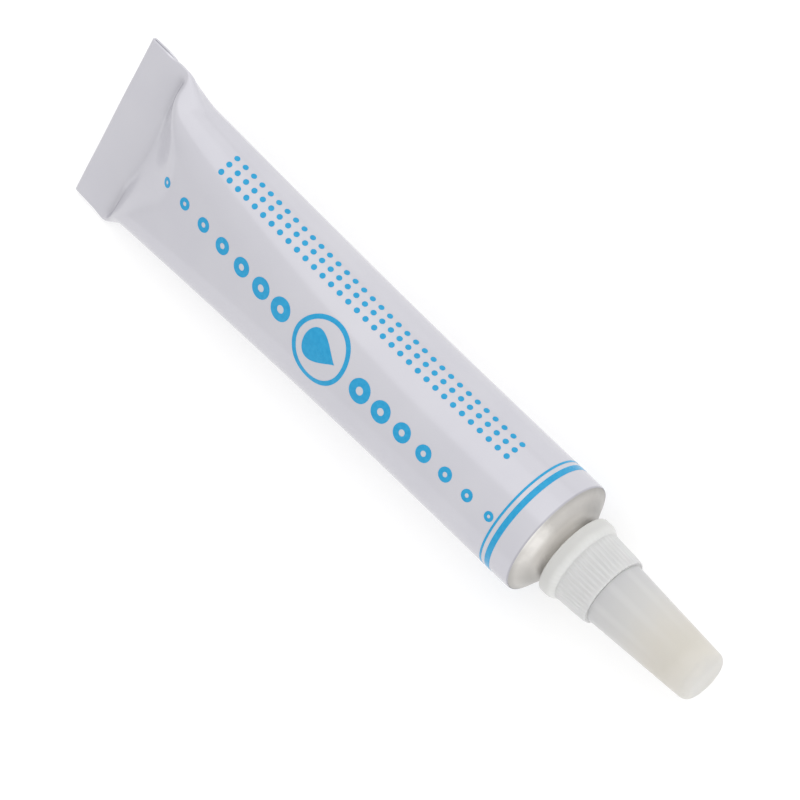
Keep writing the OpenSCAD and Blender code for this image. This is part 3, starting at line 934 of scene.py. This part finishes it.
# %% Grip ribs
ribs = Tree("grip_ribs", Count="Int", Foot_radius="Float", End_radius="Float", Length="Float",
            Rib_radius="Float", End_drop="Float", Material="Material")
given = ribs.inputs
rings_along, points_round, bend_power = 22, 20, 14.0
lean = ribs.math("SUBTRACT", given["End radius"], given["Foot radius"])
rib_end = ribs.vector(lean, 0.0, given["Length"])
line = ribs.node("GeometryNodeCurvePrimitiveLine", Start=(0, 0, 0), End=rib_end)
line = ribs.node("GeometryNodeResampleCurve", Curve=line, Count=rings_along)
along = ribs.node("GeometryNodeSplineParameter")
bend = ribs.times(ribs.math("POWER", along, bend_power), ribs.times(given["End drop"], -1.0))
line = ribs.node("GeometryNodeSetPosition", Geometry=line, Offset=ribs.vector(bend))
bar = ribs.node("GeometryNodeCurvePrimitiveCircle", Resolution=points_round, Radius=given["Rib radius"])
rib = ribs.node("GeometryNodeCurveToMesh", Curve=line, Profile_Curve=bar, Fill_Caps=True)
feet = ribs.node("GeometryNodeMeshCircle", Vertices=given["Count"], Radius=given["Foot radius"])
step = ribs.math("DIVIDE", 2 * math.pi, given["Count"])
angle = ribs.vector(0.0, 0.0, ribs.times(ribs.node("GeometryNodeInputIndex"), step))
ribs.close(ribs.node("GeometryNodeInstanceOnPoints", Points=feet, Instance=rib, Rotation=angle))

rib_start, rib_sunk, rib_short = flange_len - 0.35, 0.25, 0.02
mesh = ribs.mesh("grip_ribs", white_plastic, Count=rib_count, Foot_radius=collar_r - rib_sunk,
                 End_radius=collar_end_r - rib_sunk, Length=collar_len - rib_start - rib_short,
                 Rib_radius=0.32, End_drop=0.1)
mesh.transform(on_axis(x_flange + rib_start))
dress(shown("grip_ribs", finished(mesh)), "nozzle")

# %% [markdown]
# The needle is a steel tube with smoothed ends. It sits in the nozzle's nose and reaches into the cap. A
# turned profile gives it its bore and its rounded tip in one go.

# %% Needle
needle_start, needle_tip = span("needle")
needle_len, needle_bore = needle_tip - needle_start, 0.255
edge, tip_edge, bore_edge, tip_ring = 0.05, 0.08, 0.03, 0.4
profile = [(needle_bore, edge), (needle_bore + edge, 0), (needle_r - edge, 0), (needle_r, edge)]
profile += [(needle_r, needle_len - tip_ring), (needle_r, needle_len - tip_edge)]
profile += arc(needle_r - tip_edge, needle_len - tip_edge, tip_edge, 0, 90, 5)
profile += [(needle_bore + bore_edge, needle_len), (needle_bore, needle_len - edge)]
profile += [(needle_bore, needle_len / 2)]
dress(turned("steel_needle", profile, needle_start, steel, 48), "needle", "needle")

# %% [markdown]
# The cap is a tapered shell with a thick closed end. It is modelled with its inner wall, because light
# passes through both walls, and what stands inside shows as soft tints: the nose, the needle, and the resin
# plug that holds the cleaning wire.

# %% Cap
cap_len = x_tip - x_cap
grip_r, cap_wall, cap_taper, cap_edge, cap_inside = 3.45, 0.85, 0.85, 1.1, 13.2
grip_len, mouth_edge, inner_edge = nose_len + 0.25, 0.06, 0.3
mouth_bevel, mouth_bevel_len = 0.12, 0.15


def cap_r(z):
    return grip_r + cap_wall - cap_taper * z / (cap_len - cap_edge)


inside_r = cap_r(cap_inside) - cap_wall
profile = [(0.0, cap_inside)] + arc(inside_r - inner_edge, cap_inside - inner_edge, inner_edge, 90, 0, 5)
profile += [(cap_r(z) - cap_wall, z) for z in np.linspace(cap_inside - 0.6, grip_len, 8)]
profile += [(grip_r, grip_len), (grip_r, mouth_bevel_len), (grip_r + mouth_bevel, 0.0)]
profile += arc(cap_r(0) - mouth_edge, mouth_edge, mouth_edge, -90, 0, 3)
profile += [(cap_r(z), z) for z in np.linspace(0.8, cap_len - cap_edge - 0.2, 12)]
profile += arc(cap_r(cap_len - cap_edge) - cap_edge, cap_len - cap_edge, cap_edge, 0, 86, 12)
profile += [(1.2, cap_len), (0.6, cap_len - 0.02), (0.0, cap_len - 0.03)]
dress(turned("cap_shell", profile, x_cap, frosted), "cap", "cap")

# %% [markdown]
# The resin is poured into the cap's end around the wire, so its free face is dished, as a liquid that wets
# the wall sets. The wire has a rounded tip, because it has to find the needle's bore.

# %% Resin plug and cleaning wire
plug_start, plug_end = span("wire_plug")
plug_len, plug_play, plug_edge = plug_end - plug_start, 0.03, 0.3
front_r, back_r = (cap_r(x - x_cap) - cap_wall - plug_play for x in (plug_start, plug_start + plug_len))
profile = [(0.0, 0.35), (0.5, 0.34), (1.4, 0.28), (2.1, 0.15), (front_r - 0.1, 0.03), (front_r, 0.0)]
profile += arc(back_r - plug_edge, plug_len - plug_edge, plug_edge, 0, 90, 5) + [(0.0, plug_len)]
dress(turned("resin_plug", profile, plug_start, amber, 96), "cap", "wire_plug")

wire_start, wire_end = span("cleaning_wire")
wire_len, wire_r, wire_tip = wire_end - wire_start, 0.2, 0.12
profile = [(0.0, 0.0)] + arc(wire_r - wire_tip, wire_tip, wire_tip, -90, 0, 4)
profile += [(wire_r, wire_len / 2), (wire_r, wire_len), (0.0, wire_len)]
dress(turned("steel_wire", profile, wire_start, steel, 32), "cap", "cleaning_wire")

# %% [markdown]
# The print is a plain ornament of beads on a string, a drop in a ring, a strip of fine dots and two hoops
# round the tube. Each motif is made flat, with x along the tube and y around it, cut finely enough to bend,
# and then every point is carried onto the wall and the sheet is given the thickness of ink.

# %% Helpers for the print
ink_lift, ink_t = 0.02, 0.03


def thickened(mesh):
    """Mesh with the thickness of the ink below its surface."""
    carrier = shown("ink", mesh)
    layer = carrier.modifiers.new("ink", "SOLIDIFY")
    layer.thickness = ink_t * MM
    layer.offset = -1.0
    result = bpy.data.meshes.new_from_object(carrier.evaluated_get(bpy.context.evaluated_depsgraph_get()))
    bpy.data.objects.remove(carrier)
    return result


def wrap(name, mesh):
    """Lays a flat mesh onto the enamel; y runs from the front's middle towards the raised edge."""
    flat = np.array([vertex.co[:] for vertex in mesh.vertices])
    around = np.mod(1 - flat[:, 1] / quarter_girth, 4)
    mesh.vertices.foreach_set("co", (wall(flat[:, 0] - x_fold, around, enamel + ink_lift) * MM).ravel())
    mesh.update()
    shaped = bmesh.new()
    shaped.from_mesh(mesh)
    bmesh.ops.remove_doubles(shaped, verts=shaped.verts, dist=MERGE)
    for face in shaped.faces:
        centre = face.calc_center_median()
        outward = centre - Vector((centre.x, axis_y * MM, axis_z * MM))
        if face.normal.dot(outward) < 0:
            face.normal_flip()
    shaped.to_mesh(mesh)
    shaped.free()
    dress(shown(name, finished(thickened(mesh))), "tube")


# %% [markdown]
# A bead is a small grid bent round into a ring. The tree copies it along a line and lets its size grow or
# shrink from the first copy to the last, so one tree makes the string on both sides of the drop.

# %% Beads on a string
beads = Tree("bead_string", Start="Vector", Step="Float", Count="Int", First_radius="Float",
             Last_radius="Float", Hole_share="Float", Material="Material")
given = beads.inputs
around_bead, across_bead = 40, 5
sheet = beads.node("GeometryNodeMeshGrid", Size_X=1.0, Size_Y=1.0,
                   Vertices_X=around_bead + 1, Vertices_Y=across_bead)
split = beads.group.nodes.new("ShaderNodeSeparateXYZ")
feed(beads.group, beads.node("GeometryNodeInputPosition"), split.inputs[0])
turn = beads.times(split.outputs["X"], 2 * math.pi)
out_share = beads.math("ADD", split.outputs["Y"], 0.5)
solid_share = beads.math("SUBTRACT", 1.0, given["Hole share"])
radius = beads.math("ADD", given["Hole share"], beads.times(out_share, solid_share))
bent = beads.vector(beads.times(radius, beads.math("COSINE", turn)),
                    beads.times(radius, beads.math("SINE", turn)))
bead = beads.node("GeometryNodeSetPosition", Geometry=sheet, Position=bent)
places = beads.node("GeometryNodeMeshLine", Count=given["Count"], Start_Location=given["Start"],
                    Offset=beads.vector(given["Step"]))
last = beads.math("SUBTRACT", given["Count"], 1.0)
growth = beads.math("DIVIDE", beads.math("SUBTRACT", given["Last radius"], given["First radius"]), last)
size = beads.math("ADD", given["First radius"], beads.times(beads.node("GeometryNodeInputIndex"), growth))
beads.close(beads.node("GeometryNodeInstanceOnPoints", Points=places, Instance=bead, Scale=size))

string_y, string_middle = 1.6, -9.0
bead_step, bead_count, first_gap = 3.7, 7, 7.2
for side, name in ((-1, "bead_string_rear"), (1, "bead_string_front")):
    start = (string_middle + side * first_gap, string_y, 0.0)
    wrap(name, beads.mesh(name, blue_ink, Start=start, Step=side * bead_step, Count=bead_count,
                          First_radius=1.55, Last_radius=0.65, Hole_share=0.34))

# %% [markdown]
# The strip of dots is one disc copied onto the points of a grid, and a hoop is a narrow grid as long as the
# tube's girth, so that its two ends meet at the back.

# %% Fine dots and hoops
dots = Tree("dot_field", Length="Float", Width="Float", Columns="Int", Rows="Int", Dot_radius="Float",
            Centre="Vector", Material="Material")
given = dots.inputs
field = dots.node("GeometryNodeMeshGrid", Size_X=given["Length"], Size_Y=given["Width"],
                  Vertices_X=given["Columns"], Vertices_Y=given["Rows"])
disc = dots.node("GeometryNodeMeshCircle", {"fill_type": "TRIANGLE_FAN"},
                 Vertices=20, Radius=given["Dot radius"])
dotted = dots.node("GeometryNodeInstanceOnPoints", Points=field, Instance=disc)
dots.close(dots.node("GeometryNodeTransform", Geometry=dotted, Translation=given["Centre"]))
wrap("dot_field", dots.mesh("dot_field", blue_ink, Length=50.0, Width=2.6, Columns=34, Rows=3,
                            Dot_radius=0.38, Centre=(-8.0, 9.6, 0.0)))

hoops = Tree("hoop", Station="Float", Width="Float", Girth="Float", Material="Material")
given = hoops.inputs
strip = hoops.node("GeometryNodeMeshGrid", Size_X=given["Width"], Size_Y=given["Girth"],
                   Vertices_X=4, Vertices_Y=241)
hoops.close(hoops.node("GeometryNodeTransform", Geometry=strip, Translation=hoops.vector(given["Station"])))
for name, back, width in (("hoop_wide", 3.4, 0.8), ("hoop_fine", 4.5, 0.3)):
    wrap(name, hoops.mesh(name, blue_ink, Station=x_rim - back, Width=width, Girth=4 * quarter_girth))

# %% [markdown]
# The drop and its ring are single motifs, so they are drawn by a short loop: rings of points that run from
# a centre, or an inner outline, to an outer outline.

# %% Drop in a ring
drop_len, drop_width, drop_power, drop_heart = 2.7, 3.1, 1.5, -0.6
ring_inner, ring_outer = 3.7, 4.3


def patch(name, inside, outside, steps, points):
    """Flat sheet in the middle of the string, between two outlines that turn angles into points."""
    angles = np.arange(points) * 2 * math.pi / points
    first, last = (np.stack(np.broadcast_arrays(*outline(angles)), axis=-1) for outline in (inside, outside))
    vertices, faces = [], []
    for share in np.linspace(0, 1, steps + 1):
        vertices += [(x + string_middle, y + string_y, 0.0) for x, y in first + (last - first) * share]
    for i in range(steps):
        for k in range(points):
            n = (k + 1) % points
            faces.append((i * points + k, i * points + n, (i + 1) * points + n, (i + 1) * points + k))
    wrap(name, new_mesh(name, vertices, faces, blue_ink))


def drop_outline(angles):
    """Round at the foot and drawn to a point along the tube."""
    return drop_len * np.cos(angles), drop_width * np.sin(angles) * np.sin(angles / 2) ** drop_power


def ring_outline(radius):
    return lambda angles: (radius * np.cos(angles), radius * np.sin(angles))


patch("drop", lambda angles: (drop_heart, 0 * angles), drop_outline, 7, 72)
patch("drop_ring", ring_outline(ring_inner), ring_outline(ring_outer), 3, 120)

# %% [markdown]
# The set is a white floor that glows a little, so that it stays white in the render, under a sky that is
# slightly darker behind the fold and beside the tube.

# %% Floor and sky
reach = 3.0
glow = {"Roughness": 0.7, "Emission Strength": 0.5, "Emission Color": (1, 1, 1, 1)}
floor_white = Finish("floor_white", glow)
pale = floor_white.shades(floor_white.grain(60.0), (0.5, 0.5, 0.5), (0.52, 0.52, 0.52))
feed(floor_white.tree, pale, floor_white.sockets["Base Color"])
floor_corners = [(-reach, -reach, 0), (reach, -reach, 0), (reach, reach, 0), (-reach, reach, 0)]
shown("floor", new_mesh("floor", floor_corners, [(0, 1, 2, 3)], floor_white))

studio = bpy.data.worlds.new("studio")
studio.use_nodes = True
sky = Shading(studio.node_tree)
direction = sky.node("ShaderNodeTexCoord").outputs["Generated"]
towards = sky.node("ShaderNodeSeparateXYZ", vector=direction).outputs
behind_fold = sky.between(towards["X"], 0.85, 1.02, -1.0, -0.4)
beside_tube = sky.between(towards["Y"], 0.94, 1.0, -1.0, -0.3)
background = studio.node_tree.nodes["Background"].inputs
background["Color"].default_value = (1.0, 1.0, 1.0, 1.0)
feed(studio.node_tree, sky.times(behind_fold, beside_tube), background["Strength"])
bpy.context.scene.world = studio
print("world:", studio.name)

# %% [markdown]
# A large soft light hangs overhead. Its near edge runs straight above the tube, so that its reflection
# lightens one side of the barrel and ends in a soft line along it. A light from the side fills in, and a
# small one in front lights the shoulder and the cap.

# %% Lights
def soft_light(name, centre, size, aim, radiance):
    """Rectangular light that faces a point; its power follows from the brightness of its surface."""
    lamp = bpy.data.lights.new(name, "AREA")
    lamp.shape = "RECTANGLE"
    lamp.size, lamp.size_y = size
    lamp.energy = radiance * math.pi * size[0] * size[1]
    holder = shown(name, lamp)
    holder.location = centre
    holder.rotation_euler = (Vector(aim) - Vector(centre)).to_track_quat("-Z", "Y").to_euler()
    holder.visible_camera = False
    print(f"{name} light: {lamp.energy:.2f} W")


soft_light("overhead", centre=(0.0, 0.75, 1.3), size=(3.2, 1.5), aim=(0.0, 0.75, 0.0), radiance=0.16)
soft_light("side", centre=(0.0, 1.3, 0.9), size=(3.2, 2.75), aim=(0.0, 0.95, -0.2), radiance=0.22)
soft_light("front", centre=(1.1, -0.35, 0.26), size=(0.9, 0.5), aim=(0.03, 0.0, 0.01), radiance=1.4)
bpy.context.scene.view_settings.view_transform = "Standard"

# %% [markdown]
# The camera looks down on the tube, a little from the cap's side, through a long lens. It is placed from
# the picture: the middle of the rim lies at a known pixel of the 800 by 800 frame, at a known scale.

# %% Camera
frame_px, sensor = 800, 36.0
rim_px, scale_px = (556.6, 538.3), 8.54
distance, tilt, lie, turn_about = 850.0, math.radians(18.6), math.radians(43.78), math.radians(1.0)
along_tube = Vector((1, 0, 0))
side = Vector((0, math.cos(turn_about), -math.sin(turn_about)))
top = Vector((0, math.sin(turn_about), math.cos(turn_about)))
to_camera = math.sin(tilt) * along_tube + math.cos(tilt) * top
flat_along = math.cos(tilt) * along_tube - math.sin(tilt) * top
right = math.cos(lie) * flat_along + math.sin(lie) * side
up = -math.sin(lie) * flat_along + math.cos(lie) * side
rim_centre = Vector((x_rim, axis_y, axis_z))
aim = rim_centre - right * (rim_px[0] - frame_px / 2) / scale_px + up * (rim_px[1] - frame_px / 2) / scale_px
lens = bpy.data.cameras.new("camera")
lens.sensor_width = sensor
lens.lens = scale_px * distance * sensor / frame_px
lens.clip_start, lens.clip_end = 0.01, 20.0
camera = shown("camera", lens)
turned_to = Matrix((right, up, to_camera)).transposed().to_4x4()
camera.matrix_world = Matrix.Translation((aim + distance * to_camera) * MM) @ turned_to
bpy.context.scene.camera = camera
print(f"lens {lens.lens:.0f} mm at {distance:.0f} mm")
